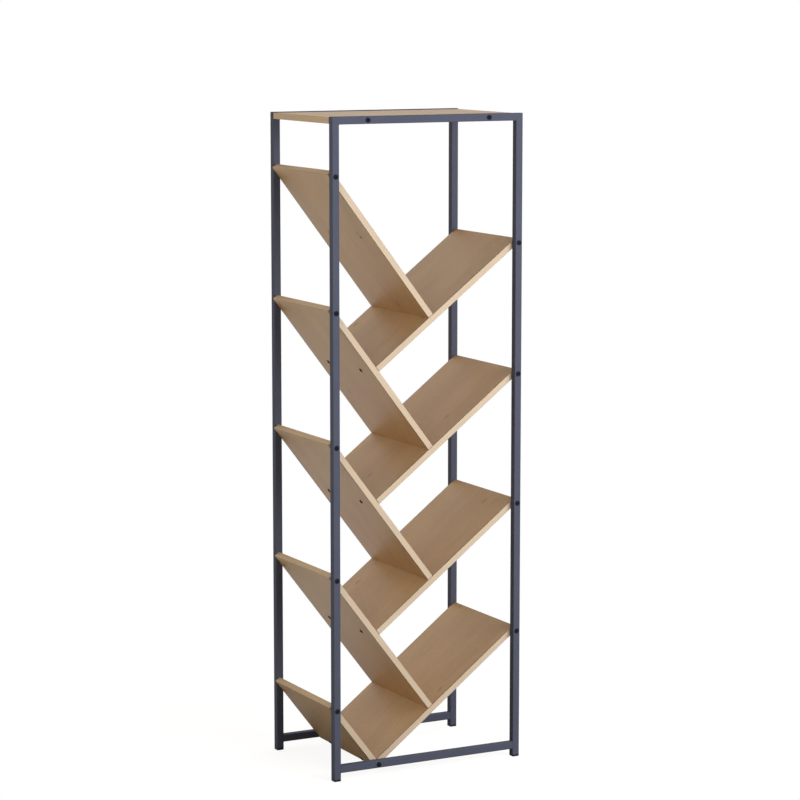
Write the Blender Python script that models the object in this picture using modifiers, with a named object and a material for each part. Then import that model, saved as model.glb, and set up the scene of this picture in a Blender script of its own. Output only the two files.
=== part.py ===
"""Tree bookcase: two slim steel frames, joined by slanted wooden boards.

Metres, +Z up. +X runs to the right of someone who faces the bookcase, +Y to its back.
The origin is on the floor, under the middle of the bookcase. Inside the script every
place is measured from the frames' lower front left corner, which an empty holds.
"""
import math

import bmesh
import bpy
from mathutils import Matrix, Vector

# Overall size of the two frames
WIDTH = 0.450
DEPTH = 0.300
HEIGHT = 1.400

# Square steel tube
TUBE = 0.016
TUBE_WALL = 0.0012
TUBE_CORNER = 0.0016
RAIL_CLEARANCE = 0.0175

# Foot plugs, pressed into the lower ends of the uprights
FOOT_CAP = 0.004
FOOT_STEM = 0.012
FOOT_CHAMFER = 0.0008

# Wooden boards
BOARD = 0.013
BOARD_ARRIS = 0.0004
SLOPE = math.radians(52.5)
LEFT_BOARDS = 5
RIGHT_BOARDS = LEFT_BOARDS - 1

# Places of the bolts that hold the boards, and how far the boards run past them
HIGHEST_BOLT_DROP = 0.1227
BOTTOM_BOLT_X = 0.1057
LAST_STEP_CUT = 0.0015
LOWEST_SEAT_DROP = 0.0024
TOP_BOLT_INSET = 0.082
LEFT_END_MARGIN = 0.0108
RIGHT_END_MARGIN = 0.0070
BOTTOM_END_MARGIN = 0.0064

# Frame bolts: a domed head with a hexagon socket, and a plain shank
BOLT_HEAD_RADIUS = 0.0053
BOLT_HEAD_HEIGHT = 0.0030
BOLT_RIM = 0.0010
BOLT_RADIUS = 0.0025
BOLT_LENGTH = 0.045
BOLT_POINT = 0.0010
BOLT_SOCKET_RADIUS = 0.0021
BOLT_SOCKET_DEPTH = 0.0018

# Joint screws: a countersunk head, let into the outer face of the board that they cross
SCREW_HEAD_RADIUS = 0.0040
SCREW_HEAD_HEIGHT = 0.0028
SCREW_RIM = 0.0005
SCREW_RADIUS = 0.0020
SCREW_LENGTH = 0.045
SCREW_POINT = 0.0025
SCREW_SOCKET_RADIUS = 0.0015
SCREW_SOCKET_DEPTH = 0.0015
SCREW_INSET = 0.057
SCREW_SINK = 0.0002

# Blind pilot holes of the highest left board, where its copies take joint screws
PILOT_RADIUS = 0.0030
PILOT_DEPTH = 0.0020

# Clearances
SEAT_GAP = 0.0003
HOLE_CLEARANCE = 0.0003
CUT_EXTRA = 0.0010

# Facets of round pieces and of rounded edges
BOLT_STEPS = 16
DOME_STEPS = 3
SCREW_STEPS = 12
CORNER_SEGMENTS = 3
SOCKET_SIDES = 6
MERGE_DISTANCE = 0.00002
SMOOTH_ANGLE = math.radians(50.0)

# Directions of the boards, from their upper ends down, and the sizes that follow
LEFT_DOWN = Vector((math.cos(SLOPE), 0.0, -math.sin(SLOPE)))
RIGHT_DOWN = Vector((-math.sin(SLOPE), 0.0, -math.cos(SLOPE)))
BOARD_DEPTH = DEPTH - 2 * (TUBE + SEAT_GAP)
MITRE_GAP = SEAT_GAP / math.sqrt(2.0)
LEFT_OVERHANG = LEFT_END_MARGIN * math.cos(SLOPE) + BOARD / 2 * math.sin(SLOPE) - TUBE / 2
RIGHT_OVERHANG = RIGHT_END_MARGIN * math.sin(SLOPE) + BOARD / 2 * math.cos(SLOPE) - TUBE / 2
REACH_LEFT = max(LEFT_OVERHANG, 0.0)
REACH_RIGHT = max(RIGHT_OVERHANG, 0.0)
FRAME_LEFT = (REACH_LEFT - REACH_RIGHT - WIDTH) / 2

COLOURS = {
    "steel_paint": ((0.085, 0.092, 0.135), 0.45, 0.0),
    "oak_laminate": ((0.40, 0.28, 0.165), 0.50, 0.0),
    "bolt_black": ((0.022, 0.023, 0.028), 0.38, 0.8),
    "screw_black": ((0.020, 0.020, 0.022), 0.42, 0.8),
    "foot_plastic": ((0.018, 0.018, 0.020), 0.55, 0.0),
}


def clear_scene():
    for old in list(bpy.data.objects):
        bpy.data.objects.remove(old, do_unlink=True)


def make_collection(name):
    collection = bpy.data.collections.new(name)
    bpy.context.scene.collection.children.link(collection)
    return collection


def make_material(name):
    colour, roughness, metallic = COLOURS[name]
    material = bpy.data.materials.new(name)
    material.use_nodes = True
    shader = material.node_tree.nodes["Principled BSDF"]
    shader.inputs["Base Color"].default_value = (*colour, 1.0)
    shader.inputs["Roughness"].default_value = roughness
    shader.inputs["Metallic"].default_value = metallic
    return material


def finish_mesh(form, name):
    """Writes a bmesh to a new mesh with its faces pointing out."""
    bmesh.ops.recalc_face_normals(form, faces=form.faces)
    mesh = bpy.data.meshes.new(name)
    form.to_mesh(mesh)
    form.free()
    return mesh


def box_form(low, high):
    """A box between two corners, as a bmesh."""
    low = Vector(low)
    high = Vector(high)
    form = bmesh.new()
    bmesh.ops.create_cube(form, size=1.0)
    bmesh.ops.scale(form, vec=high - low, verts=form.verts)
    bmesh.ops.translate(form, vec=(low + high) / 2, verts=form.verts)
    return form


def prism_form(sides, radius, low, high):
    """A round or many-sided bar along Z between two heights, as a bmesh."""
    form = bmesh.new()
    bmesh.ops.create_cone(
        form,
        cap_ends=True,
        segments=sides,
        radius1=radius,
        radius2=radius,
        depth=high - low,
        matrix=Matrix.Translation((0.0, 0.0, (low + high) / 2)),
    )
    return form


def round_edges(form, edges, radius, segments):
    bmesh.ops.bevel(
        form, geom=edges, offset=radius, segments=segments, profile=0.5, affect="EDGES", clamp_overlap=True
    )


def smooth(mesh):
    mesh.shade_smooth()
    mesh.set_sharp_from_angle(angle=SMOOTH_ANGLE)


def turned_mesh(name, profile, steps, socket_radius=0.0, socket_top=0.0, socket_depth=0.0):
    """A turned piece from its profile, top to bottom, with an optional hexagon socket."""
    outline = bpy.data.meshes.new(name)
    edges = [(index, index + 1) for index in range(len(profile) - 1)]
    outline.from_pydata([(radius, 0.0, height) for radius, height in profile], edges, [])
    master = bpy.data.objects.new(name, outline)
    bpy.context.scene.collection.objects.link(master)
    screw = master.modifiers.new("turn", "SCREW")
    screw.axis = "Z"
    screw.steps = steps
    screw.render_steps = steps
    screw.use_merge_vertices = True
    screw.merge_threshold = MERGE_DISTANCE
    masters = [master]
    if socket_depth > 0.0:
        form = prism_form(SOCKET_SIDES, socket_radius, socket_top - socket_depth, socket_top + CUT_EXTRA)
        socket = bpy.data.objects.new(name + "_socket", finish_mesh(form, name + "_socket"))
        bpy.context.scene.collection.objects.link(socket)
        cut = master.modifiers.new("socket", "BOOLEAN")
        cut.operation = "DIFFERENCE"
        cut.object = socket
        masters.append(socket)
    bpy.context.view_layer.update()
    evaluated = master.evaluated_get(bpy.context.evaluated_depsgraph_get())
    mesh = bpy.data.meshes.new_from_object(evaluated)
    mesh.name = name
    for used in masters:
        bpy.data.objects.remove(used, do_unlink=True)
    smooth(mesh)
    return mesh


def bolt_profile():
    """Half outline of a frame bolt, with the underside of its head at height 0."""
    dome = BOLT_HEAD_HEIGHT - BOLT_RIM
    turns = [math.pi / 2 * step / DOME_STEPS for step in range(DOME_STEPS + 1)]
    head = [(BOLT_HEAD_RADIUS * math.sin(turn), BOLT_RIM + dome * math.cos(turn)) for turn in turns]
    shank = [
        (BOLT_HEAD_RADIUS, 0.0),
        (BOLT_RADIUS, 0.0),
        (BOLT_RADIUS, BOLT_POINT - BOLT_LENGTH),
        (BOLT_RADIUS - BOLT_POINT, -BOLT_LENGTH),
        (0.0, -BOLT_LENGTH),
    ]
    return head + shank


def screw_profile():
    """Half outline of a joint screw, with the flat top of its head at height 0."""
    return [
        (0.0, 0.0),
        (SCREW_HEAD_RADIUS, 0.0),
        (SCREW_HEAD_RADIUS, -SCREW_RIM),
        (SCREW_RADIUS, -SCREW_HEAD_HEIGHT),
        (SCREW_RADIUS, SCREW_POINT - SCREW_LENGTH),
        (0.0, -SCREW_LENGTH),
    ]


def screw_hole_profile():
    """Half outline of the countersunk hole for a joint screw, from above the board's face."""
    wide = SCREW_HEAD_RADIUS + HOLE_CLEARANCE
    narrow = SCREW_RADIUS + HOLE_CLEARANCE
    bottom = -SCREW_LENGTH - HOLE_CLEARANCE
    return [
        (0.0, CUT_EXTRA),
        (wide, CUT_EXTRA),
        (wide, -SCREW_RIM),
        (narrow, -SCREW_HEAD_HEIGHT - HOLE_CLEARANCE),
        (narrow, bottom),
        (0.0, bottom),
    ]


class Builder:
    """Holds the collections, the materials and the corner that everything is placed from."""

    def __init__(self):
        clear_scene()
        self.parts = make_collection("tree_bookcase")
        self.cutters = make_collection("cutters")
        self.cutters.hide_render = True
        self.materials = {name: make_material(name) for name in COLOURS}
        self.corner = bpy.data.objects.new("frame_corner", None)
        self.corner.location = (FRAME_LEFT, -DEPTH / 2, 0.0)
        self.parts.objects.link(self.corner)

    def part(self, name, mesh, material, location, rotation=None):
        piece = bpy.data.objects.new(name, mesh)
        if not mesh.materials:
            mesh.materials.append(self.materials[material])
        self.place(piece, location, rotation)
        self.parts.objects.link(piece)
        return piece

    def cutter(self, name, mesh, location, rotation=None):
        tool = bpy.data.objects.new(name, mesh)
        self.place(tool, location, rotation)
        tool.hide_render = True
        tool.display_type = "WIRE"
        return tool

    def cut(self, piece, tool):
        """Adds a cutter to the piece's own set. One Boolean per piece takes the whole set away."""
        if not piece.modifiers:
            boolean = piece.modifiers.new("cuts", "BOOLEAN")
            boolean.operation = "DIFFERENCE"
            boolean.solver = "EXACT"
            boolean.operand_type = "COLLECTION"
            boolean.collection = bpy.data.collections.new(piece.name + "_cuts")
            self.cutters.children.link(boolean.collection)
        piece.modifiers["cuts"].collection.objects.link(tool)

    def place(self, piece, location, rotation):
        piece.parent = self.corner
        piece.location = location
        if rotation is not None:
            piece.rotation_mode = "QUATERNION"
            piece.rotation_quaternion = rotation


def facing(direction):
    """The turn that points a piece's own +Z along a direction."""
    return Vector((0.0, 0.0, 1.0)).rotation_difference(Vector(direction))


def bolt_places():
    """Bolt centres in the plane of a frame, for the boards on each side and for the rails.

    The lowest left board runs from its upright to the bottom rail. The lowest right board stands
    on it, just past the rail's bolt, and the others follow at one pitch.
    """
    bottom = Vector((BOTTOM_BOLT_X, 0.0, RAIL_CLEARANCE + TUBE / 2))
    first_z = HEIGHT - HIGHEST_BOLT_DROP
    last_z = bottom.z + (BOTTOM_BOLT_X - TUBE / 2) * math.tan(SLOPE)
    pitch = (first_z - last_z + LAST_STEP_CUT) / (LEFT_BOARDS - 1)
    left = [Vector((TUBE / 2, 0.0, first_z - pitch * step)) for step in range(LEFT_BOARDS - 1)]
    left.append(Vector((TUBE / 2, 0.0, last_z)))
    right_x = WIDTH - TUBE / 2
    seat = bottom + LEFT_DOWN * LOWEST_SEAT_DROP
    lowest = seat + RIGHT_DOWN * ((right_x - seat.x) / RIGHT_DOWN.x)
    steps_up = range(RIGHT_BOARDS - 1, -1, -1)
    right = [Vector((right_x, 0.0, lowest.z + pitch * step)) for step in steps_up]
    top_z = HEIGHT - TUBE / 2
    top = [Vector((TOP_BOLT_INSET, 0.0, top_z)), Vector((WIDTH - TOP_BOLT_INSET, 0.0, top_z))]
    return {"left": left, "right": right, "top": top, "bottom": [bottom]}


def tube_form(size, low, high, low_slant, high_slant):
    """A square bar along Z. A slant of 1 or -1 makes that end a mitre across X."""
    half = size / 2
    form = box_form((-half, -half, low), (half, half, high))
    middle = (low + high) / 2
    for vert in form.verts:
        slant = high_slant if vert.co.z > middle else low_slant
        vert.co.z += slant * vert.co.x
    return form


def make_tube(builder, name, location, rotation, low, high, low_slant, high_slant):
    """One hollow tube of a frame, along its own Z, with rounded corners and open ends."""
    form = tube_form(TUBE, low, high, low_slant, high_slant)
    long_edges = [edge for edge in form.edges if edge.calc_length() > TUBE * 2]
    round_edges(form, long_edges, TUBE_CORNER, CORNER_SEGMENTS)
    mesh = finish_mesh(form, name)
    smooth(mesh)
    piece = builder.part(name, mesh, "steel_paint", location, rotation)
    bore = TUBE - 2 * TUBE_WALL
    reach = TUBE
    hollow = finish_mesh(tube_form(bore, low - reach, high + reach, low_slant, high_slant), name + "_bore")
    builder.cut(piece, builder.cutter(name + "_bore", hollow, location, rotation))
    return piece


def make_frame(builder, side, y):
    """The four tubes of the front or the back frame, as a dictionary by place."""
    foot = FOOT_CAP + SEAT_GAP
    top = HEIGHT - TUBE / 2 - MITRE_GAP
    right_x = WIDTH - TUBE / 2
    half = WIDTH / 2
    upright = Matrix.Identity(3).to_quaternion()
    along_x = Matrix.Rotation(math.radians(90.0), 3, "Y").to_quaternion()
    mitred = half - TUBE / 2 - MITRE_GAP
    butted = half - TUBE - SEAT_GAP
    return {
        "left": make_tube(
            builder, side + "_left_upright", (TUBE / 2, y, 0.0), upright, foot, top, 0.0, -1.0
        ),
        "right": make_tube(builder, side + "_right_upright", (right_x, y, 0.0), upright, foot, top, 0.0, 1.0),
        "top": make_tube(
            builder, side + "_top_rail", (half, y, HEIGHT - TUBE / 2), along_x, -mitred, mitred, 1.0, -1.0
        ),
        "bottom": make_tube(
            builder,
            side + "_bottom_rail",
            (half, y, RAIL_CLEARANCE + TUBE / 2),
            along_x,
            -butted,
            butted,
            0.0,
            0.0,
        ),
    }


def make_foot(builder, name, x, y):
    """A plastic plug: a cap under the tube and a stem inside it."""
    half = TUBE / 2
    form = box_form((-half, -half, 0.0), (half, half, FOOT_CAP))
    standing = [edge for edge in form.edges if abs(edge.verts[0].co.z - edge.verts[1].co.z) > FOOT_CAP / 2]
    round_edges(form, standing, TUBE_CORNER, CORNER_SEGMENTS)
    under = [edge for edge in form.edges if all(vert.co.z < FOOT_CAP / 2 for vert in edge.verts)]
    round_edges(form, under, FOOT_CHAMFER, 1)
    form.faces.ensure_lookup_table()
    lid = max(form.faces, key=lambda face: face.calc_center_median().z)
    bmesh.ops.inset_region(form, faces=[lid], thickness=TUBE_WALL + HOLE_CLEARANCE, use_even_offset=True)
    lid = max(form.faces, key=lambda face: (face.calc_center_median().z, face.calc_area()))
    raised = bmesh.ops.extrude_discrete_faces(form, faces=[lid])["faces"][0]
    bmesh.ops.translate(form, vec=(0.0, 0.0, FOOT_STEM), verts=raised.verts)
    return builder.part(name, finish_mesh(form, name), "foot_plastic", (x, y, 0.0))


def make_board(builder, name, bolt, direction, start, end):
    """A slanted board that runs past its bolt by start and down to end, along a direction."""
    half_depth = BOARD_DEPTH / 2
    half = BOARD / 2
    form = box_form((-start, -half_depth, -half), (end, half_depth, half))
    round_edges(form, list(form.edges), BOARD_ARRIS, 1)
    turn = Vector((1.0, 0.0, 0.0)).rotation_difference(direction)
    location = bolt + Vector((0.0, DEPTH / 2, 0.0))
    return builder.part(name, finish_mesh(form, name), "oak_laminate", location, turn)


def make_boards(builder, places):
    """The slanted boards of both sides. Each one's lower end is square on its neighbour's face."""
    left = []
    right = []
    for index, bolt in enumerate(places["left"]):
        if index < RIGHT_BOARDS:
            end = (places["right"][index] - bolt).dot(LEFT_DOWN) - BOARD / 2 - SEAT_GAP
        else:
            end = (places["bottom"][0] - bolt).length + BOTTOM_END_MARGIN
        name = "left_board_%d" % (index + 1)
        left.append(make_board(builder, name, bolt, LEFT_DOWN, LEFT_END_MARGIN, end))
    for index, bolt in enumerate(places["right"]):
        meet = (places["left"][index + 1] - bolt).dot(RIGHT_DOWN)
        name = "right_board_%d" % (index + 1)
        end = meet - BOARD / 2 - SEAT_GAP
        right.append(make_board(builder, name, bolt, RIGHT_DOWN, RIGHT_END_MARGIN, end))
    return left, right


def make_top_panel(builder):
    """The flat top board, held between the two top rails at their mid height."""
    half = Vector((WIDTH / 2, BOARD_DEPTH / 2, BOARD / 2))
    form = box_form(-half, half)
    round_edges(form, list(form.edges), BOARD_ARRIS, 1)
    location = (WIDTH / 2, DEPTH / 2, HEIGHT - TUBE / 2)
    return builder.part("top_panel", finish_mesh(form, "top_panel"), "oak_laminate", location)


def drill_mesh(name, radius, depth):
    """A straight drill along Z, from above the face that it enters down to its depth."""
    return finish_mesh(prism_form(SCREW_STEPS, radius, -depth, CUT_EXTRA), name)


def fit_bolts(builder, places, frames, boards):
    """Drills each tube with the board behind it, and puts the bolt in, front and back."""
    bolt_mesh = turned_mesh(
        "frame_bolt", bolt_profile(), BOLT_STEPS, BOLT_SOCKET_RADIUS, BOLT_HEAD_HEIGHT, BOLT_SOCKET_DEPTH
    )
    drill = drill_mesh("bolt_hole", BOLT_RADIUS + HOLE_CLEARANCE, BOLT_LENGTH + HOLE_CLEARANCE)
    for side, head_y, outward in (("front", -SEAT_GAP, -1.0), ("back", DEPTH + SEAT_GAP, 1.0)):
        turn = facing((0.0, outward, 0.0))
        for place, bolts in places.items():
            for index, bolt in enumerate(bolts):
                seat = Vector((bolt.x, head_y, bolt.z))
                name = "%s_%s_bolt_%d" % (side, place, index + 1)
                tool = builder.cutter(name + "_hole", drill, seat, turn)
                builder.cut(frames[side][place], tool)
                builder.cut(boards[place][index], tool)
                builder.part(name, bolt_mesh, "bolt_black", seat, turn)


def joint_rows(places):
    """Where the joint screws enter: crossed board, held board, point on the face, outward way."""
    rows = []
    for index in range(RIGHT_BOARDS):
        upper = places["left"][index]
        crossed = places["right"][index]
        lower = places["left"][index + 1]
        meet = (crossed - upper).dot(LEFT_DOWN) + BOARD / 2
        rows.append(("right", index, "left", index, upper + LEFT_DOWN * meet, LEFT_DOWN))
        meet = (lower - crossed).dot(RIGHT_DOWN) + BOARD / 2
        rows.append(("left", index + 1, "right", index, crossed + RIGHT_DOWN * meet, RIGHT_DOWN))
    return rows


def fit_screws(builder, places, boards):
    """Screws each board to the end of the next. The lowest corner's two holes stay for its screws."""
    screw_mesh = turned_mesh(
        "joint_screw", screw_profile(), SCREW_STEPS, SCREW_SOCKET_RADIUS, 0.0, SCREW_SOCKET_DEPTH
    )
    hole = turned_mesh("screw_hole", screw_hole_profile(), SCREW_STEPS)
    first_y = TUBE + SEAT_GAP + SCREW_INSET
    depths = {"front": first_y, "back": DEPTH - first_y}
    rows = joint_rows(places)
    for crossed_side, crossed_index, held_side, held_index, face, outward in rows:
        turn = facing(outward)
        last_joint = crossed_side == "left" and crossed_index == LEFT_BOARDS - 1
        for end, y in depths.items():
            seat = Vector((face.x, y, face.z)) - outward * SCREW_SINK
            name = "%s_board_%d_%s_screw" % (crossed_side, crossed_index + 1, end)
            tool = builder.cutter(name + "_hole", hole, seat, turn)
            builder.cut(boards[crossed_side][crossed_index], tool)
            builder.cut(boards[held_side][held_index], tool)
            if not last_joint:
                builder.part(name, screw_mesh, "screw_black", seat, turn)
    drill_pilots(builder, places, boards, depths)


def drill_pilots(builder, places, boards, depths):
    """The highest left board carries nothing on its underside, so its holes stay blind."""
    drill = drill_mesh("pilot_hole", PILOT_RADIUS, PILOT_DEPTH)
    down_board = (places["right"][0] - places["left"][1]).dot(LEFT_DOWN)
    face = places["left"][0] + LEFT_DOWN * down_board + RIGHT_DOWN * BOARD / 2
    for end, y in depths.items():
        seat = Vector((face.x, y, face.z))
        tool = builder.cutter("pilot_%s_hole" % end, drill, seat, facing(RIGHT_DOWN))
        builder.cut(boards["left"][0], tool)


def main():
    builder = Builder()
    places = bolt_places()
    near = TUBE / 2
    far = DEPTH - TUBE / 2
    frames = {"front": make_frame(builder, "front", near), "back": make_frame(builder, "back", far)}
    for side, y in (("front", near), ("back", far)):
        make_foot(builder, side + "_left_foot", TUBE / 2, y)
        make_foot(builder, side + "_right_foot", WIDTH - TUBE / 2, y)
    left, right = make_boards(builder, places)
    panel = make_top_panel(builder)
    boards = {"left": left, "right": right, "top": [panel, panel], "bottom": [left[-1]]}
    fit_bolts(builder, places, frames, boards)
    fit_screws(builder, places, boards)
    bpy.context.view_layer.update()


main()
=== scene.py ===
"""Looks of the tree bookcase: finishes, turned bolts and screws, weld seams and a plain studio.

Metres, +Z up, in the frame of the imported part: the origin is on the floor, under the middle of
the bookcase, +X is its right and +Y its back.
"""
import math

import bmesh
import bpy
from mathutils import Matrix, Vector


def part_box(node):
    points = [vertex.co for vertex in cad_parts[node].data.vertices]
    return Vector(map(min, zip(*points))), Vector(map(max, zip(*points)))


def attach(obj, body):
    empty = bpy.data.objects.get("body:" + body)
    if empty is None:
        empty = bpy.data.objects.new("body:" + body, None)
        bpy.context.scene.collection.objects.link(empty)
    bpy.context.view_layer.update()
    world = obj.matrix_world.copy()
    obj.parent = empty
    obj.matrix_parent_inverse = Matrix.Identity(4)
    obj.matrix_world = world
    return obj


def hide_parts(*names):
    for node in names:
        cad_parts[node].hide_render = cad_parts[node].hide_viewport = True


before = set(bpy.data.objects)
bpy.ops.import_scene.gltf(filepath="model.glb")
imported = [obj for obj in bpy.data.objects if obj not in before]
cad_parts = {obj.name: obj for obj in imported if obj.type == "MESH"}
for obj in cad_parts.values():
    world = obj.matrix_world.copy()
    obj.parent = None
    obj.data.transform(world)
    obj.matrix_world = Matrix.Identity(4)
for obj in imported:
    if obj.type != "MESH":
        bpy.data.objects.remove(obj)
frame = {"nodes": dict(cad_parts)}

# Camera of the photograph
LENS = 125.19
SENSOR = 36.0
CAMERA_PLACE = (-2.7434, -5.2683, 1.6381)
CAMERA_TURN = math.radians(27.60)
CAMERA_DIP = math.radians(8.20)
VIEW_LIMIT = 50.0

# Slanted boards
SLOPE = math.radians(52.5)
RIGHTWARD = Vector((1.0, 0.0, 0.0))
BACKWARD = Vector((0.0, 1.0, 0.0))
UPWARD = Vector((0.0, 0.0, 1.0))
LEFT_DOWN = Vector((math.cos(SLOPE), 0.0, -math.sin(SLOPE)))
RIGHT_DOWN = Vector((-math.sin(SLOPE), 0.0, -math.cos(SLOPE)))
LEFT_UP_FACE = Vector((math.sin(SLOPE), 0.0, math.cos(SLOPE)))
RIGHT_UP_FACE = Vector((-math.cos(SLOPE), 0.0, math.sin(SLOPE)))

# Steel tube
TUBE_CORNER = 0.0016
CORNER_SEGMENTS = 3
SEAT_GAP = 0.0003

# Frame bolts, with the underside of the head at height 0
BOLT_HEAD_RADIUS = 0.0053
BOLT_RIM = 0.0010
BOLT_DOME = 0.0019
BOLT_EDGE = 0.0003
BOLT_RADIUS = 0.0025
BOLT_LENGTH = 0.045
BOLT_POINT = 0.0010
BOLT_SOCKET = 0.0021
BOLT_SOCKET_DEPTH = 0.0018
DOME_STEPS = 7

# Joint screws: a raised countersunk head, with the face of the board at height 0
SCREW_RIM_RADIUS = 0.0048
SCREW_RIM_LIFT = 0.00004
SCREW_DOME = 0.0015
SCREW_HEAD_RADIUS = 0.0040
SCREW_HEAD_HEIGHT = 0.0028
SCREW_RIM = 0.0005
SCREW_EDGE = 0.0002
SCREW_RADIUS = 0.0020
SCREW_LENGTH = 0.045
SCREW_POINT = 0.0025
SCREW_SOCKET = 0.0015
SCREW_SOCKET_DEPTH = 0.0015
LOWEST_SCREW_X = -0.121727
LOWEST_SCREW_Z = 0.019761

# Turned pieces: steps around a piece, and corners of its socket
TURNED_STEPS = 48
HEXAGON = 6

# Shares of the socket's radius: its broken edge, the lip around it and where the dome starts
SOCKET_BREAK_DEPTH = 0.06
SOCKET_BREAK_WIDTH = 0.05
BOLT_SOCKET_LIP = 1.22
BOLT_DOME_START = 1.5
SCREW_SOCKET_LIP = 1.25
SCREW_DOME_START = 1.6

# The socket's top as a share of the dome's height, and the tip as one of the screw's radius
DOME_SOCKET_HEIGHT = 0.93
SCREW_TIP = 0.1

# Smoothing: edges that turn more than this stay sharp
SHARP_ANGLE = math.radians(35.0)
MERGE_DISTANCE = 0.000002

# Weld seams
SEAM_SINK = 0.00002
SEAM_OVERLAP = 0.00002
BEAD_LEG = 0.0014
BEAD_RIPPLE = 0.08
BEAD_PITCH = 0.0013
BEAD_STEPS = 60
BEAD_EMBED = 0.00035
BEAD_SAG = 0.62
BEAD_TAPER = 4.0
BEAD_TIP = 0.15

# Edge banding: the front and back edges of a board lie half its depth from the middle
HALF_DEPTH = 0.1337
# A dark glue seam along each edge, widened into painted shade that fades onto the face; the arris is
# darkened with it
SEAM_AND_SHADE_WIDTH = 0.0008
EDGE_SHADE_FADE = 0.0030
SEAM_AND_SHADE_STRENGTH = 0.78

# How far a face has to turn to a board's narrow side, as a cosine, to be its rim or its band
RIM_TURN = 0.6
BAND_TURN = 0.9

# Oak grain: noise scales per metre along the grain, over it and through the board
BROAD_NOISE = (5.0, 17.0, 7.0)
BEND_NOISE = (2.0, 6.0, 3.0)
FIBRE_NOISE = (9.0, 420.0, 420.0)
PORE_NOISE = (60.0, 1500.0, 1500.0)
RAY_NOISE = (330.0, 70.0, 70.0)

# Levels of noise between which a mark goes from none to full
BROAD_LEVELS = (0.3, 0.7)
FIBRE_LEVELS = (0.25, 0.75)
FIBRE_GLOSS_LEVELS = (0.2, 0.8)
PORE_LEVELS = (0.62, 0.74)
RAY_LEVELS = (0.70, 0.80)
GRAIN_LEVELS = (0.3, 0.7)
LIFT_LEVELS = (0.4, 0.7)

# Year rings: how many per metre, how far noise and knots bend them, and the parts of a ring's
# width over which it darkens and pales again
RINGS_PER_METRE = 85.0
RING_BEND = 14.0
RING_SWIRL = 1.6
RING_RISE = (0.0, 0.85)
RING_FALL = (0.9, 1.0)

# Shares of the wood's tone, and how strong rays are, and pores in a ring's pale and dark part
BROAD_SHARE = 0.64
RING_SHARE = 0.10
FIBRE_SHARE = 0.26
RAY_STRENGTH = 0.35
PORE_STRENGTH_PALE = 0.25
PORE_STRENGTH_DARK = 0.60

# Oak knots: cells per metre, with a knot in each cell whose random value is above the limit.
# Core, edge and reach are distances from the knot's middle, in cells.
KNOT_CELLS_ALONG = 4.5
KNOT_CELLS_ACROSS = 8.0
KNOT_CELLS_THROUGH = 37.0
KNOT_LIMIT = 0.45
KNOT_CORE = 0.010
KNOT_EDGE = 0.055
KNOT_REACH = 0.16
KNOT_STRENGTH = 0.45

# Gloss and relief. A pair is the least and the most roughness, RELIEF is in metres, and GRAIN
# and CLOUD are noise scales per metre.
OAK_ROUGHNESS = (0.42, 0.54)
OAK_IOR = 1.56
OAK_SPECULAR = 0.6
OAK_RELIEF = 0.0002
OAK_BUMP = 0.25
STEEL_ROUGHNESS = (0.50, 0.62)
STEEL_SPECULAR = 0.02
STEEL_GRAIN = 1600.0
STEEL_CLOUD = 14.0
STEEL_WEAR = 0.25
STEEL_BUMP = 0.15
BLACK_BUMP = 0.12
BLACK_LIFT = 1.8
BLACK_LIFT_SHARE = 0.5
BLACK_ROUGHNESS_SPREAD = 0.06
FINE_RELIEF = 0.0001

# Colours, linear
OAK_PALE = (0.542, 0.341, 0.153)
OAK_DARK = (0.456, 0.284, 0.129)
OAK_PORE = (0.290, 0.168, 0.076)
OAK_KNOT = (0.150, 0.075, 0.025)
OAK_RAY = (0.580, 0.392, 0.195)
# Painted shade: the right boards' oak is made a little darker than the left boards'
RIGHT_BOARD_PAINTED_SHADE = 0.97
BAND_PALE = (0.705, 0.568, 0.420)
BAND_DARK = (0.630, 0.490, 0.350)
END_PALE = (0.564, 0.386, 0.190)
END_DARK = (0.474, 0.319, 0.155)
# Glue seam and painted edge shade on the boards
GLUE_SEAM_AND_SHADE = (0.110, 0.052, 0.018)
STEEL_BLUE = (0.095, 0.104, 0.149)
STEEL_WORN = (0.114, 0.123, 0.166)
BOLT_BLACK = (0.010, 0.011, 0.022)
SCREW_BLACK = (0.016, 0.012, 0.010)
FOOT_BLACK = (0.014, 0.014, 0.016)

# Light
WORLD_LEVEL = 0.17
REAR_LEVEL = 1.18
WARM_TINT = (1.00, 0.93, 0.83)
FLOOR_BOUNCE = 0.30
FLOOR_SHADE = 1.7
FLOOR_SIZE = 8.0
FLOOR_DROP = 0.0003
# Floor: from and to which distance from the middle, and the share of plain white at each
# In gloss the floor shows its dim grey near the object and turns white farther off: painted shade
# around the object, seen in reflections
GLOSS_SHADE_NEAR = (0.12, 0.60, 0.0, 0.85)
GLOSS_SHADE_FAR = (0.4, 2.5, 0.0, 0.15)
SEEN_WHITE = (0.25, 0.8, 0.87, 1.0)
LAMP_AIM = (0.0, 0.0, 0.8)
FRONT_LEFT_AIM = (0.0, 0.0, 1.0)
LEFT_AIM = (0.0, 0.0, 0.9)
RIGHT_AIM = (0.0, 0.0, 0.7)


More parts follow.
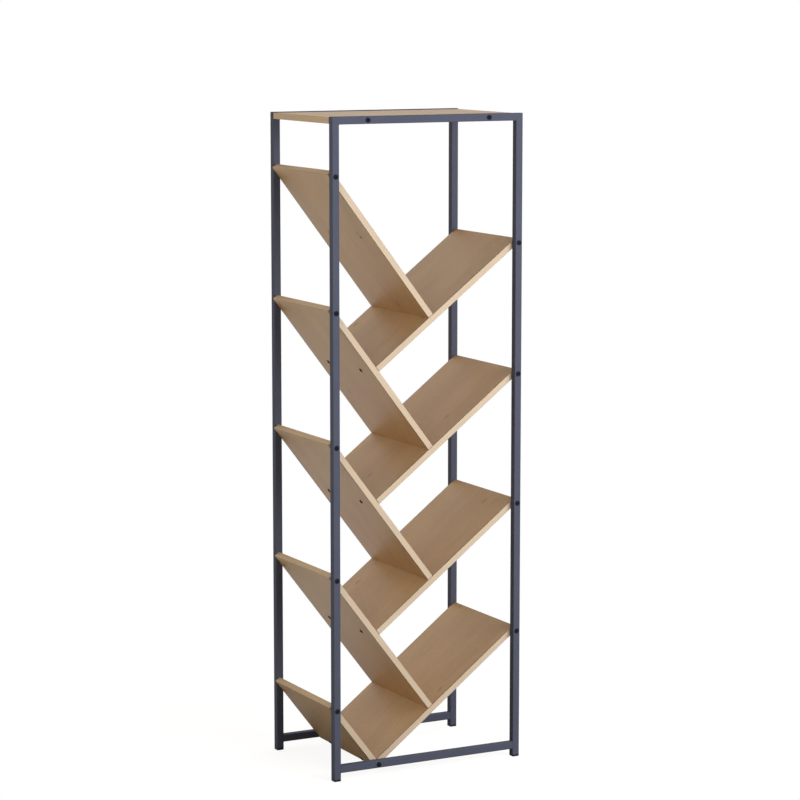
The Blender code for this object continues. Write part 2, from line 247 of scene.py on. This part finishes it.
class Graph:
    """One node tree. A value is a number, a tuple or another node's socket."""

    def __init__(self, tree):
        self.tree = tree

    def put(self, socket, value):
        if isinstance(value, bpy.types.NodeSocket):
            self.tree.links.new(value, socket)
        else:
            socket.default_value = value

    def node(self, kind, **settings):
        made = self.tree.nodes.new("ShaderNode" + kind)
        for key, value in settings.items():
            setattr(made, key, value)
        return made

    def math(self, operation, *values):
        made = self.node("Math", operation=operation)
        for socket, value in zip(made.inputs, values):
            self.put(socket, value)
        return made.outputs[0]

    def sum(self, *values):
        total = values[0]
        for value in values[1:]:
            total = self.math("ADD", total, value)
        return total

    def times(self, first, second):
        return self.math("MULTIPLY", first, second)

    def above(self, value, limit):
        return self.math("GREATER_THAN", value, limit)

    def dot(self, vector, direction):
        made = self.node("VectorMath", operation="DOT_PRODUCT")
        self.put(made.inputs[0], vector)
        self.put(made.inputs[1], tuple(direction))
        return made.outputs["Value"]

    def vector(self, *parts):
        made = self.node("CombineXYZ")
        for socket, value in zip(made.inputs, parts):
            self.put(socket, value)
        return made.outputs[0]

    def noise(self, vector, scale=1.0, detail=2.0, roughness=0.5):
        made = self.node("TexNoise")
        self.put(made.inputs["Vector"], vector)
        self.put(made.inputs["Scale"], scale)
        self.put(made.inputs["Detail"], detail)
        self.put(made.inputs["Roughness"], roughness)
        return made.outputs["Fac"]

    def span(self, value, low, high, out_low=0.0, out_high=1.0):
        """A smooth step from out_low to out_high as the value goes from low to high."""
        made = self.node("MapRange", interpolation_type="SMOOTHSTEP")
        for socket, part in zip(made.inputs, (value, low, high, out_low, out_high)):
            self.put(socket, part)
        return made.outputs[0]

    def mix(self, share, first, second):
        """A colour between two, by a share from 0 to 1."""
        made = self.node("Mix", data_type="RGBA")
        self.put(made.inputs["Factor"], share)
        for socket, value in ((made.inputs[6], first), (made.inputs[7], second)):
            self.put(socket, value if isinstance(value, bpy.types.NodeSocket) else (*value, 1.0))
        return made.outputs[2]

    def pick(self, share, first, second):
        """A number between two, by a share from 0 to 1."""
        made = self.node("Mix", data_type="FLOAT")
        sockets = (made.inputs[0], made.inputs[2], made.inputs[3])
        for socket, value in zip(sockets, (share, first, second)):
            self.put(socket, value)
        return made.outputs[0]

    def white_to_eye(self):
        """1 for rays that show the background, straight or in gloss or glass, and 0 for the light."""
        path = self.node("LightPath")
        seen = self.math("MAXIMUM", path.outputs["Is Camera Ray"], path.outputs["Is Glossy Ray"])
        return self.math("MAXIMUM", seen, path.outputs["Is Transmission Ray"])


class Finish(Graph):
    """A material with one Principled shader."""

    def __init__(self, name):
        self.material = bpy.data.materials.new(name)
        self.material.use_nodes = True
        super().__init__(self.material.node_tree)
        self.shader = self.tree.nodes["Principled BSDF"]
        self.place = self.node("TexCoord").outputs["Object"]

    def set(self, **values):
        for name, value in values.items():
            self.put(self.shader.inputs[name.replace("_", " ")], value)

    def bump(self, height, strength, distance):
        made = self.node("Bump")
        self.put(made.inputs["Height"], height)
        self.put(made.inputs["Strength"], strength)
        self.put(made.inputs["Distance"], distance)
        self.put(self.shader.inputs["Normal"], made.outputs[0])


def oak_board(name, along, face, shade=1.0):
    """Printed oak on a board's faces, edge banding on its narrow sides, and a dark line between: a
    glue seam, widened with painted shade that fades onto the face.
    """
    oak = Finish(name)
    normal = oak.node("NewGeometry").outputs["True Normal"]
    length = oak.dot(oak.place, along)
    across = oak.dot(oak.place, BACKWARD)
    depth = oak.dot(oak.place, face)
    end_turn = oak.math("ABSOLUTE", oak.dot(normal, along))
    side_turn = oak.math("ABSOLUTE", oak.dot(normal, BACKWARD))
    at_end = oak.above(end_turn, RIM_TURN)
    turn = oak.math("MAXIMUM", end_turn, side_turn)
    banded = oak.above(turn, BAND_TURN)
    rim = oak.math("ABSOLUTE", across)
    # Painted shade: darkest at the edge, fading over a few millimetres onto the face; the arris gets
    # it too
    edge_shade = oak.span(rim, HALF_DEPTH - EDGE_SHADE_FADE, HALF_DEPTH - SEAM_AND_SHADE_WIDTH)
    seam_and_edge_shade = oak.math("MAXIMUM", oak.above(turn, RIM_TURN), edge_shade)

    # On the ends the streaks run from front to back
    run = oak.pick(at_end, length, across)
    cross = oak.pick(at_end, across, length)

    def stretched(scales):
        along_run, over_cross, over_depth = scales
        return oak.vector(
            oak.times(run, along_run),
            oak.times(cross, over_cross),
            oak.times(depth, over_depth),
        )

    knot_cells = oak.vector(
        oak.sum(oak.times(run, KNOT_CELLS_ALONG), oak.times(depth, KNOT_CELLS_THROUGH)),
        oak.times(cross, KNOT_CELLS_ACROSS),
        0.0,
    )
    knots = oak.node("TexVoronoi", voronoi_dimensions="2D")
    oak.put(knots.inputs["Vector"], knot_cells)
    oak.put(knots.inputs["Scale"], 1.0)
    chosen = oak.above(oak.dot(knots.outputs["Color"], (1.0, 0.0, 0.0)), KNOT_LIMIT)
    knot = oak.times(chosen, oak.span(knots.outputs["Distance"], KNOT_CORE, KNOT_EDGE, 1.0, 0.0))
    swirl = oak.times(chosen, oak.span(knots.outputs["Distance"], 0.0, KNOT_REACH, 1.0, 0.0))

    broad = oak.noise(stretched(BROAD_NOISE), detail=3.0)
    bend = oak.noise(stretched(BEND_NOISE), detail=2.0)
    phase = oak.sum(
        oak.times(cross, RINGS_PER_METRE),
        oak.times(bend, RING_BEND),
        oak.times(swirl, RING_SWIRL),
    )
    phase = oak.math("FRACT", phase)
    rings = oak.times(oak.span(phase, *RING_RISE), oak.span(phase, *RING_FALL, 1.0, 0.0))
    fibre = oak.noise(stretched(FIBRE_NOISE), detail=3.0, roughness=0.6)
    pores = oak.span(oak.noise(stretched(PORE_NOISE), detail=1.0), *PORE_LEVELS)
    rays = oak.span(oak.noise(stretched(RAY_NOISE), detail=0.0), *RAY_LEVELS)

    tone = oak.sum(
        oak.times(oak.span(broad, *BROAD_LEVELS), BROAD_SHARE),
        oak.times(rings, RING_SHARE),
        oak.times(oak.span(fibre, *FIBRE_LEVELS), FIBRE_SHARE),
    )
    # A shade below 1 darkens the oak: painted shade, used for the right boards
    pale = tuple(part * shade for part in OAK_PALE)
    dark = tuple(part * shade for part in OAK_DARK)
    colour = oak.mix(tone, pale, dark)
    colour = oak.mix(oak.times(rays, RAY_STRENGTH), colour, OAK_RAY)
    pore_strength = oak.pick(rings, PORE_STRENGTH_PALE, PORE_STRENGTH_DARK)
    colour = oak.mix(oak.times(pores, pore_strength), colour, OAK_PORE)
    colour = oak.mix(oak.times(knot, KNOT_STRENGTH), colour, OAK_KNOT)

    half_and_half = oak.sum(oak.times(broad, 0.5), oak.times(fibre, 0.5))
    band_tone = oak.span(half_and_half, *BROAD_LEVELS)
    edge_band = oak.mix(band_tone, BAND_PALE, BAND_DARK)
    end_band = oak.mix(band_tone, END_PALE, END_DARK)
    band = oak.mix(at_end, edge_band, end_band)
    # The glue seam and the painted shade along the edges and the arris
    colour = oak.mix(oak.times(seam_and_edge_shade, SEAM_AND_SHADE_STRENGTH), colour, GLUE_SEAM_AND_SHADE)
    colour = oak.mix(banded, colour, band)
    roughness = oak.span(fibre, *FIBRE_GLOSS_LEVELS, *OAK_ROUGHNESS)
    oak.set(Base_Color=colour, Roughness=roughness)
    oak.set(IOR=OAK_IOR, Specular_IOR_Level=OAK_SPECULAR)
    oak.bump(oak.math("SUBTRACT", fibre, pores), OAK_BUMP, OAK_RELIEF)
    return oak.material


def painted_steel(name):
    """Powder paint on steel: a fine even texture."""
    paint = Finish(name)
    grain = paint.noise(paint.place, STEEL_GRAIN)
    cloud = paint.noise(paint.place, STEEL_CLOUD, 3.0)
    wear = paint.span(cloud, *GRAIN_LEVELS, 0.0, STEEL_WEAR)
    colour = paint.mix(wear, STEEL_BLUE, STEEL_WORN)
    roughness = paint.span(grain, *GRAIN_LEVELS, *STEEL_ROUGHNESS)
    paint.set(Base_Color=colour, Roughness=roughness)
    paint.set(Specular_IOR_Level=STEEL_SPECULAR)
    paint.bump(grain, STEEL_BUMP, FINE_RELIEF)
    return paint.material


def plain_black(name, colour, roughness, specular, scale):
    """A dull dark finish with a fine grain."""
    black = Finish(name)
    grain = black.noise(black.place, scale)
    lighter = tuple(part * BLACK_LIFT for part in colour)
    lift = black.span(grain, *LIFT_LEVELS, 0.0, BLACK_LIFT_SHARE)
    smoothest = roughness - BLACK_ROUGHNESS_SPREAD
    roughest = roughness + BLACK_ROUGHNESS_SPREAD
    black.set(
        Base_Color=black.mix(lift, colour, lighter),
        Roughness=black.span(grain, *GRAIN_LEVELS, smoothest, roughest),
        Specular_IOR_Level=specular,
    )
    black.bump(grain, BLACK_BUMP, FINE_RELIEF)
    return black.material


def make_finishes():
    """The finish of each kind of piece."""
    return {
        "left_board": oak_board("oak_left", LEFT_DOWN, LEFT_UP_FACE),
        "right_board": oak_board("oak_right_painted_shade", RIGHT_DOWN, RIGHT_UP_FACE, RIGHT_BOARD_PAINTED_SHADE),
        "top_panel": oak_board("oak_top", RIGHTWARD, UPWARD),
        "steel": painted_steel("steel_blue"),
        "bolt": plain_black(
            "bolt_finish", BOLT_BLACK, roughness=0.50, specular=0.15, scale=900.0
        ),
        "screw": plain_black(
            "screw_finish", SCREW_BLACK, roughness=0.70, specular=0.01, scale=900.0
        ),
        "foot": plain_black(
            "foot_finish", FOOT_BLACK, roughness=0.60, specular=0.20, scale=1200.0
        ),
    }


def finish_of(name):
    """The finish of a CAD node, by its name."""
    if name.endswith("_screw"):
        return "screw"
    if "_bolt_" in name:
        return "bolt"
    if name.endswith("_foot"):
        return "foot"
    if name == "top_panel":
        return name
    if "_board_" in name:
        return name.rsplit("_", 1)[0]
    return "steel"


def make_smoother():
    """Geometry nodes that join a CAD node's triangles and shade its rounded corners smooth."""
    tree = bpy.data.node_groups.new("join_and_smooth", "GeometryNodeTree")
    tree.interface.new_socket("Geometry", in_out="INPUT", socket_type="NodeSocketGeometry")
    tree.interface.new_socket("Geometry", in_out="OUTPUT", socket_type="NodeSocketGeometry")
    steps = [tree.nodes.new("NodeGroupInput")]
    merge = tree.nodes.new("GeometryNodeMergeByDistance")
    merge.inputs["Distance"].default_value = MERGE_DISTANCE
    plain = tree.nodes.new("GeometryNodeRemoveAttribute")
    plain.inputs["Name"].default_value = "custom_normal"
    faces = tree.nodes.new("GeometryNodeSetShadeSmooth")
    faces.domain = "FACE"
    edges = tree.nodes.new("GeometryNodeSetShadeSmooth")
    edges.domain = "EDGE"
    edges.inputs["Shade Smooth"].default_value = False
    angle = tree.nodes.new("GeometryNodeInputMeshEdgeAngle")
    wide = tree.nodes.new("FunctionNodeCompare")
    wide.operation = "GREATER_THAN"
    wide.inputs[1].default_value = SHARP_ANGLE
    tree.links.new(angle.outputs["Unsigned Angle"], wide.inputs[0])
    tree.links.new(wide.outputs[0], edges.inputs["Selection"])
    steps += [merge, plain, faces, edges, tree.nodes.new("NodeGroupOutput")]
    for before, after in zip(steps, steps[1:]):
        tree.links.new(before.outputs[0], after.inputs[0])
    return tree


def dress(frame, finishes):
    """Gives every node of the part its finish, and the steel its smooth corners."""
    smoother = make_smoother()
    for name, node in frame["nodes"].items():
        finish = finish_of(name)
        for slot in node.material_slots:
            slot.material = finishes[finish]
        if finish in ("steel", "foot"):
            joined = node.modifiers.new("join", "NODES")
            joined.node_group = smoother
            weighted = node.modifiers.new("weight", "WEIGHTED_NORMAL")
            weighted.keep_sharp = True
            weighted.weight = 100


def add_piece(name, mesh, finish, nodes=()):
    """A new piece of the object, on the body, in place of the nodes that it refines."""
    piece = bpy.data.objects.new(name, mesh)
    if not mesh.materials:
        mesh.materials.append(finish)
    bpy.context.scene.collection.objects.link(piece)
    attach(piece, "root")
    if nodes:
        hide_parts(*nodes)
    return piece


def mesh_of(form, name):
    """A mesh from a form, smooth but for its sharp edges."""
    bmesh.ops.recalc_face_normals(form, faces=form.faces)
    mesh = bpy.data.meshes.new(name)
    form.to_mesh(mesh)
    form.free()
    mesh.shade_smooth()
    mesh.set_sharp_from_angle(angle=SHARP_ANGLE)
    return mesh


def hexagon_reach(turn, radius):
    """How far a hexagon with corners at this radius reaches in a direction."""
    sector = 2 * math.pi / HEXAGON
    return radius * math.cos(sector / 2) / math.cos(turn % sector - sector / 2)


def turned_mesh(name, profile, socket, socket_top, socket_depth):
    """A turned piece with a hexagon socket, from its profile, outside the socket to the point."""
    form = bmesh.new()
    turns = [2 * math.pi * step / TURNED_STEPS for step in range(TURNED_STEPS)]

    def ring(radii, height):
        return [
            form.verts.new((radius * math.cos(turn), radius * math.sin(turn), height))
            for turn, radius in zip(turns, radii)
        ]

    hexagon = [hexagon_reach(turn, socket) for turn in turns]
    rings = [
        ring(hexagon, socket_top - socket_depth),
        ring(hexagon, socket_top - socket * SOCKET_BREAK_DEPTH),
        ring([reach + socket * SOCKET_BREAK_WIDTH for reach in hexagon], socket_top),
    ]
    rings += [ring([radius] * TURNED_STEPS, height) for radius, height in profile]
    for inner, outer in zip(rings, rings[1:]):
        for step in range(TURNED_STEPS):
            after = (step + 1) % TURNED_STEPS
            form.faces.new((inner[step], inner[after], outer[after], outer[step]))
    form.faces.new(rings[0])
    form.faces.new(rings[-1])
    return mesh_of(form, name)


def bolt_mesh():
    """A frame bolt: a low domed head with a soft rim, and a plain shank."""
    top = BOLT_RIM + BOLT_DOME * DOME_SOCKET_HEIGHT
    profile = [(BOLT_SOCKET * BOLT_SOCKET_LIP, top)]
    first = math.asin(BOLT_SOCKET * BOLT_DOME_START / BOLT_HEAD_RADIUS)
    for step in range(DOME_STEPS + 1):
        turn = first + (math.pi / 2 - first) * step / DOME_STEPS
        radius = BOLT_HEAD_RADIUS * math.sin(turn)
        profile.append((radius, BOLT_RIM + BOLT_DOME * math.cos(turn)))
    profile += [
        (BOLT_HEAD_RADIUS, BOLT_EDGE - SEAT_GAP),
        (BOLT_HEAD_RADIUS - BOLT_EDGE, -SEAT_GAP),
        (BOLT_RADIUS, -SEAT_GAP),
        (BOLT_RADIUS, BOLT_POINT - BOLT_LENGTH),
        (BOLT_RADIUS - BOLT_POINT, -BOLT_LENGTH),
    ]
    return turned_mesh("frame_bolt", profile, BOLT_SOCKET, top, BOLT_SOCKET_DEPTH)


def screw_mesh():
    """A joint screw: a raised countersunk head, and a plain shank to a point."""
    top = SCREW_RIM_LIFT + SCREW_EDGE + SCREW_DOME * DOME_SOCKET_HEIGHT
    profile = [(SCREW_SOCKET * SCREW_SOCKET_LIP, top)]
    first = math.asin(SCREW_SOCKET * SCREW_DOME_START / SCREW_RIM_RADIUS)
    for step in range(DOME_STEPS + 1):
        turn = first + (math.pi / 2 - first) * step / DOME_STEPS
        height = SCREW_RIM_LIFT + SCREW_EDGE + SCREW_DOME * math.cos(turn)
        profile.append((SCREW_RIM_RADIUS * math.sin(turn), height))
    profile += [
        (SCREW_RIM_RADIUS, SCREW_RIM_LIFT),
        (SCREW_HEAD_RADIUS - SCREW_EDGE, SCREW_RIM_LIFT),
        (SCREW_HEAD_RADIUS - SCREW_EDGE, 0.0),
        (SCREW_HEAD_RADIUS, -SCREW_EDGE),
        (SCREW_HEAD_RADIUS, -SCREW_RIM),
        (SCREW_RADIUS, -SCREW_HEAD_HEIGHT),
        (SCREW_RADIUS, SCREW_POINT - SCREW_LENGTH),
        (SCREW_RADIUS * SCREW_TIP, -SCREW_LENGTH),
    ]
    return turned_mesh("joint_screw", profile, SCREW_SOCKET, top, SCREW_SOCKET_DEPTH)


def seat_fastener(piece, node, outward, length):
    """Stands a turned piece where its CAD solid is: on the same axis, its point at the same place."""
    first = RIGHTWARD if abs(outward.y) > 0.5 else BACKWARD
    second = outward.cross(first)
    corners = [vert.co for vert in node.data.vertices]
    place = outward * (min(corner.dot(outward) for corner in corners) + length)
    for way in (first, second):
        reach = [corner.dot(way) for corner in corners]
        place = place + way * (min(reach) + max(reach)) / 2
    stand(piece, place, outward)
    return place


def stand(piece, place, outward):
    """Moves a turned piece to its place and turns its head outward."""
    turn = UPWARD.rotation_difference(outward)
    piece.matrix_world = Matrix.Translation(place) @ turn.to_matrix().to_4x4()


def make_bolts(frame, finish):
    """A turned bolt in the place of each frame bolt of the part."""
    mesh = bolt_mesh()
    for name, node in frame["nodes"].items():
        if "_bolt_" in name:
            piece = add_piece("turned_" + name, mesh, finish, [name])
            outward = -BACKWARD if name.startswith("front") else BACKWARD
            seat_fastener(piece, node, outward, BOLT_LENGTH)


def make_screws(frame, finish):
    """A turned screw in the place of each joint screw, and the two of the lowest corner."""
    mesh = screw_mesh()
    for name, node in frame["nodes"].items():
        if name.endswith("_screw"):
            piece = add_piece("turned_" + name, mesh, finish, [name])
            outward = RIGHT_DOWN if name.startswith("left") else LEFT_DOWN
            place = seat_fastener(piece, node, outward, SCREW_LENGTH)
            if name.startswith("left_board_4"):
                low_name = name.replace("left_board_4", "left_board_5")
                lowest = add_piece(low_name, mesh, finish)
                stand(lowest, Vector((LOWEST_SCREW_X, place.y, LOWEST_SCREW_Z)), RIGHT_DOWN)


def tube_outline(size):
    """The rounded square of a tube, a hair under its faces, as points around its middle."""
    half = size / 2 - SEAM_SINK
    centre = size / 2 - TUBE_CORNER
    points = []
    for quarter in range(4):
        for step in range(CORNER_SEGMENTS + 1):
            turn = math.pi / 2 * (quarter + step / CORNER_SEGMENTS)
            side = Vector((math.cos(turn), math.sin(turn)))
            base = math.pi / 2 * quarter
            corner = Vector((math.cos(base) - math.sin(base), math.sin(base) + math.cos(base)))
            points.append(corner * centre + side * (half - centre))
    return points


def add_plate(form, points, normal, thickness):
    """A flat plate from its outline, centred on it."""
    shift = normal * thickness / 2
    low = [form.verts.new(point - shift) for point in points]
    high = [form.verts.new(point + shift) for point in points]
    form.faces.new(low)
    form.faces.new(high)
    for step in range(len(points)):
        after = (step + 1) % len(points)
        form.faces.new((low[step], low[after], high[after], high[step]))


def add_bead(form, start, end, first, second):
    """A small rippled weld bead along the inner corner of two faces, with their outward ways."""
    rings = []
    for step in range(BEAD_STEPS + 1):
        share = step / BEAD_STEPS
        travel = share * (end - start).length
        ripple = 1.0 + BEAD_RIPPLE * math.sin(2 * math.pi * travel / BEAD_PITCH)
        taper = min(1.0, BEAD_TAPER * math.sqrt(max(share * (1.0 - share), 0.0)) + BEAD_TIP)
        leg = BEAD_LEG * ripple * taper
        middle = start.lerp(end, share)
        shape = [(-BEAD_EMBED, -BEAD_EMBED), (leg, -BEAD_EMBED), (leg, 0.0)]
        for turn in (0.25, 0.5, 0.75):
            back = 1.0 - turn
            width = leg * back * (1.0 - BEAD_SAG * turn * 0.5)
            height = leg * turn * (1.0 - BEAD_SAG * back * 0.5)
            shape.append((width, height))
        shape += [(0.0, leg), (-BEAD_EMBED, leg)]
        rings.append([form.verts.new(middle + first * a + second * b) for a, b in shape])
    count = len(rings[0])
    for before, after in zip(rings, rings[1:]):
        for step in range(count):
            other = (step + 1) % count
            form.faces.new((before[step], before[other], after[other], after[step]))
    form.faces.new(rings[0])
    form.faces.new(rings[-1])


def make_welds(finish):
    """The seams where each frame's tubes meet: filled mitres above, filled butts and beads below."""
    for side in ("front", "back"):
        left_low, left_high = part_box(side + "_left_upright")
        right_low, right_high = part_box(side + "_right_upright")
        rail_low, rail_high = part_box(side + "_top_rail")
        bar_low, bar_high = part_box(side + "_bottom_rail")
        tube = rail_high.z - rail_low.z
        y = (left_low.y + left_high.y) / 2
        flat = tube / 2 - TUBE_CORNER
        outline = tube_outline(tube)
        for hand, x, inward in (("left", left_low.x, 1.0), ("right", right_high.x, -1.0)):
            inner_x = x + inward * tube
            into = RIGHTWARD * inward
            form = bmesh.new()
            diagonal = Vector((inward, 0.0, -1.0))
            centre = Vector((x + inward * tube / 2, y, rail_high.z - tube / 2))
            points = [centre + diagonal * point.x + BACKWARD * point.y for point in outline]
            across = Vector((inward, 0.0, 1.0)).normalized()
            add_plate(form, points, across, SEAT_GAP + 2 * SEAM_OVERLAP)
            for vert in form.verts:
                vert.co.z = min(vert.co.z, rail_high.z - SEAM_SINK)
                vert.co.x = inward * max(inward * vert.co.x, inward * x + SEAM_SINK)
            corner = Vector((inner_x, y, rail_low.z))
            add_bead(form, corner - BACKWARD * flat, corner + BACKWARD * flat, into, -UPWARD)
            name = "%s_%s_corner_weld" % (side, hand)
            add_piece(name, mesh_of(form, "corner_weld"), finish)

            form = bmesh.new()
            centre = Vector((inner_x + inward * SEAT_GAP / 2, y, (bar_low.z + bar_high.z) / 2))
            points = [centre + BACKWARD * point.x + UPWARD * point.y for point in outline]
            add_plate(form, points, into, SEAT_GAP + 2 * SEAM_OVERLAP)
            for z, out in ((bar_high.z, UPWARD), (bar_low.z, -UPWARD)):
                corner = Vector((inner_x, y, z))
                add_bead(form, corner - BACKWARD * flat, corner + BACKWARD * flat, into, out)
            name = "%s_%s_rail_weld" % (side, hand)
            add_piece(name, mesh_of(form, "rail_weld"), finish)


def area_lamp(name, place, target, size, power, tint=(1.0, 1.0, 1.0)):
    """A soft square lamp that is not seen itself, straight or in gloss."""
    lamp = bpy.data.lights.new(name, "AREA")
    lamp.shape = "SQUARE"
    lamp.size = size
    lamp.energy = power
    lamp.color = tint
    holder = bpy.data.objects.new(name, lamp)
    holder.location = place
    holder.visible_camera = False
    holder.visible_glossy = False
    holder.rotation_euler = (Vector(target) - Vector(place)).to_track_quat("-Z", "Y").to_euler()
    bpy.context.scene.collection.objects.link(holder)


def make_world():
    """White to the eye and in gloss, and for the rest a soft light, mostly from behind."""
    world = bpy.data.worlds.new("studio")
    bpy.context.scene.world = world
    world.use_nodes = True
    graph = Graph(world.node_tree)
    background = world.node_tree.nodes["Background"]
    eye = graph.white_to_eye()
    graph.put(background.inputs["Color"], graph.mix(eye, WARM_TINT, (1.0, 1.0, 1.0)))
    from_behind = graph.dot(graph.node("TexCoord").outputs["Generated"], BACKWARD)
    light = graph.sum(graph.times(graph.math("MAXIMUM", from_behind, 0.0), REAR_LEVEL), WORLD_LEVEL)
    graph.put(background.inputs["Strength"], graph.pick(eye, light, 1.0))


def make_floor():
    """A white floor that keeps the shadow near the object and is plain white farther off. In gloss it
    is dim grey near the object, a painted shade that turns white with distance.
    """
    form = bmesh.new()
    bmesh.ops.create_grid(form, x_segments=1, y_segments=1, size=FLOOR_SIZE)
    mesh = bpy.data.meshes.new("floor")
    form.to_mesh(mesh)
    form.free()
    floor = bpy.data.objects.new("floor", mesh)
    floor.location = (0.0, 0.0, -FLOOR_DROP)
    bpy.context.scene.collection.objects.link(floor)
    white = Finish("floor_white")
    eye = white.node("LightPath").outputs["Is Camera Ray"]
    lit = white.node("BsdfDiffuse")
    white.put(lit.inputs["Color"], white.mix(eye, (FLOOR_BOUNCE,) * 3, (FLOOR_SHADE,) * 3))
    glow = white.node("Emission")
    white.put(glow.inputs["Strength"], 1.0)
    away = white.node("VectorMath", operation="LENGTH")
    white.put(away.inputs[0], white.place)
    away = away.outputs["Value"]
    # Painted shade in gloss: near the object the floor shows its dim lit grey, farther off white
    gloss = white.sum(white.span(away, *GLOSS_SHADE_NEAR), white.span(away, *GLOSS_SHADE_FAR))
    clean = white.pick(eye, gloss, white.span(away, *SEEN_WHITE))
    mixed = white.node("MixShader")
    white.put(mixed.inputs[0], white.times(white.white_to_eye(), clean))
    white.put(mixed.inputs[1], lit.outputs[0])
    white.put(mixed.inputs[2], glow.outputs[0])
    white.put(white.tree.nodes["Material Output"].inputs["Surface"], mixed.outputs[0])
    # The floor glows for the eye and for gloss alone, so it is no lamp to sample
    white.material.cycles.emission_sampling = "NONE"
    mesh.materials.append(white.material)


def make_lamps():
    """Two lamps in front, weak warm ones on the left and one on the right."""
    area_lamp("key", (1.4, -2.6, 2.2), LAMP_AIM, size=1.6, power=37.9)
    area_lamp("low_front", (0.6, -2.6, 1.3), LAMP_AIM, size=1.4, power=39.0)
    area_lamp("front_left", (-1.5, -1.1, 1.6), FRONT_LEFT_AIM, size=0.8, power=5.0, tint=WARM_TINT)
    area_lamp("left", (-1.9, 0.1, 1.3), LEFT_AIM, size=1.0, power=3.8, tint=WARM_TINT)
    area_lamp("right", (2.3, 0.5, 0.9), RIGHT_AIM, size=1.4, power=15.0)


def make_camera():
    """The camera at the photograph's viewing angle."""
    camera = bpy.data.objects.new("camera", bpy.data.cameras.new("camera"))
    camera.data.lens = LENS
    camera.data.sensor_width = SENSOR
    camera.data.clip_end = VIEW_LIMIT
    camera.location = CAMERA_PLACE
    camera.rotation_euler = (math.radians(90.0) - CAMERA_DIP, 0.0, -CAMERA_TURN)
    bpy.context.scene.collection.objects.link(camera)
    bpy.context.scene.camera = camera


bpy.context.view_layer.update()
finishes = make_finishes()
dress(frame, finishes)
make_bolts(frame, finishes["bolt"])
make_screws(frame, finishes["screw"])
make_welds(finishes["steel"])
make_world()
make_floor()
make_lamps()
make_camera()
bpy.context.scene.view_settings.view_transform = "Standard"
